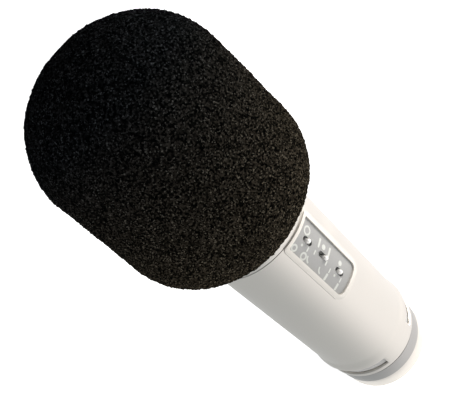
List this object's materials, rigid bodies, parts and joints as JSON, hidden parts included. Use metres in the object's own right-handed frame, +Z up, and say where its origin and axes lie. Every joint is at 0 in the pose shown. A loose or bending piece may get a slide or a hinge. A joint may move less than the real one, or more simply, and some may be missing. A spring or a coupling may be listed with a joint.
{
  "type": "sound level microphone",
  "caption": "Cylindrical sound-level microphone with a black foam windscreen, a satin nickel sleeve, a small switch panel and a screwed base with a socket.",
  "frame": {"origin": "centre of the flat base face, at the axis of the body", "axes": "+Z runs up the body to the top of the foam, -Y points out of the switch panel"},
  "size_m": [0.0908, 0.0908, 0.2294],
  "materials": {
    "foam": "open-cell foam",
    "satin_nickel": "satin nickel plate",
    "turned_steel": "turned, satin",
    "wire_mesh": "woven nickel-plated wire",
    "dark_plate": "grey satin lacquer with printed marks",
    "lever_white": "glossy",
    "black_plastic": "moulded",
    "grey_plastic": "moulded",
    "rubber": "matt grey",
    "gold_film": "gold-sputtered film",
    "brass": "turned",
    "circuit_board": "solder mask",
    "component_blue": "sleeved",
    "component_red": "dipped",
    "resistor_tan": "coated",
    "transformer": "laminated core",
    "wire_cover": "insulated wire"
  },
  "bodies": {
    "root": {"grille_outer": "wire_mesh", "grille_inner": "wire_mesh", "grille_hoop": "turned_steel", "head_collar": "satin_nickel", "capsule_platform": "black_plastic", "platform_screws": "turned_steel", "capsule_post": "turned_steel", "capsule_saddle": "black_plastic", "capsule_body": "black_plastic", "backplate": "brass", "front_diaphragm": "gold_film", "rear_diaphragm": "gold_film", "front_clamp_ring": "brass", "rear_clamp_ring": "brass", "clamp_screws": "turned_steel", "capsule_leads": "wire_cover", "sleeve": "satin_nickel", "panel_frame": "satin_nickel", "switch_plate": "dark_plate", "pattern_switch": "grey_plastic", "filter_switch": "grey_plastic", "pad_switch": "grey_plastic", "switch_board": "circuit_board", "board_link": "brass", "left_rail": "turned_steel", "right_rail": "turned_steel", "rail_screws": "turned_steel", "main_board": "circuit_board", "output_transformer": "transformer", "round_capacitors": "component_blue", "film_capacitors": "component_red", "resistors": "resistor_tan", "transistors": "black_plastic", "output_leads": "wire_cover", "chassis_base": "turned_steel", "seal_ring": "rubber", "groove_band": "turned_steel", "end_cap": "satin_nickel", "cap_screws": "turned_steel", "connector_shell": "turned_steel", "connector_insert": "black_plastic", "connector_pins": "brass"},
    "windscreen": {"windscreen": "foam"},
    "pattern_lever": {"pattern_lever": "lever_white"},
    "filter_lever": {"filter_lever": "lever_white"},
    "pad_lever": {"pad_lever": "lever_white"},
    "washer": {"thrust_washer": "turned_steel"},
    "lock_ring": {"lock_ring": "satin_nickel"}
  },
  "joints": [
    {"name": "windscreen_pull", "type": "slide", "parent": "root", "child": "windscreen", "axis": [0, 0, 1], "range_m": [0, 0.1]},
    {"name": "pattern_select", "type": "slide", "parent": "root", "child": "pattern_lever", "axis": [0, 0, 1], "range_m": [-0.0018, 0.0018]},
    {"name": "filter_select", "type": "slide", "parent": "root", "child": "filter_lever", "axis": [0, 0, 1], "range_m": [0, 0.0036]},
    {"name": "pad_select", "type": "slide", "parent": "root", "child": "pad_lever", "axis": [0, 0, 1], "range_m": [-0.0018, 0.0018]},
    {"name": "ring_travel", "type": "slide", "parent": "root", "child": "washer", "axis": [0, 0, -1], "range_m": [0, 0.00101]},
    {"name": "ring_turn", "type": "hinge", "parent": "washer", "child": "lock_ring", "pos_m": [0, 0, 0.0183], "axis": [0, 0, -1], "range_deg": [0, 360]}
  ],
  "couplings": [
    {"joint": "ring_travel", "follows": "ring_turn", "m_per_rad": 0.00015915}
  ]
}
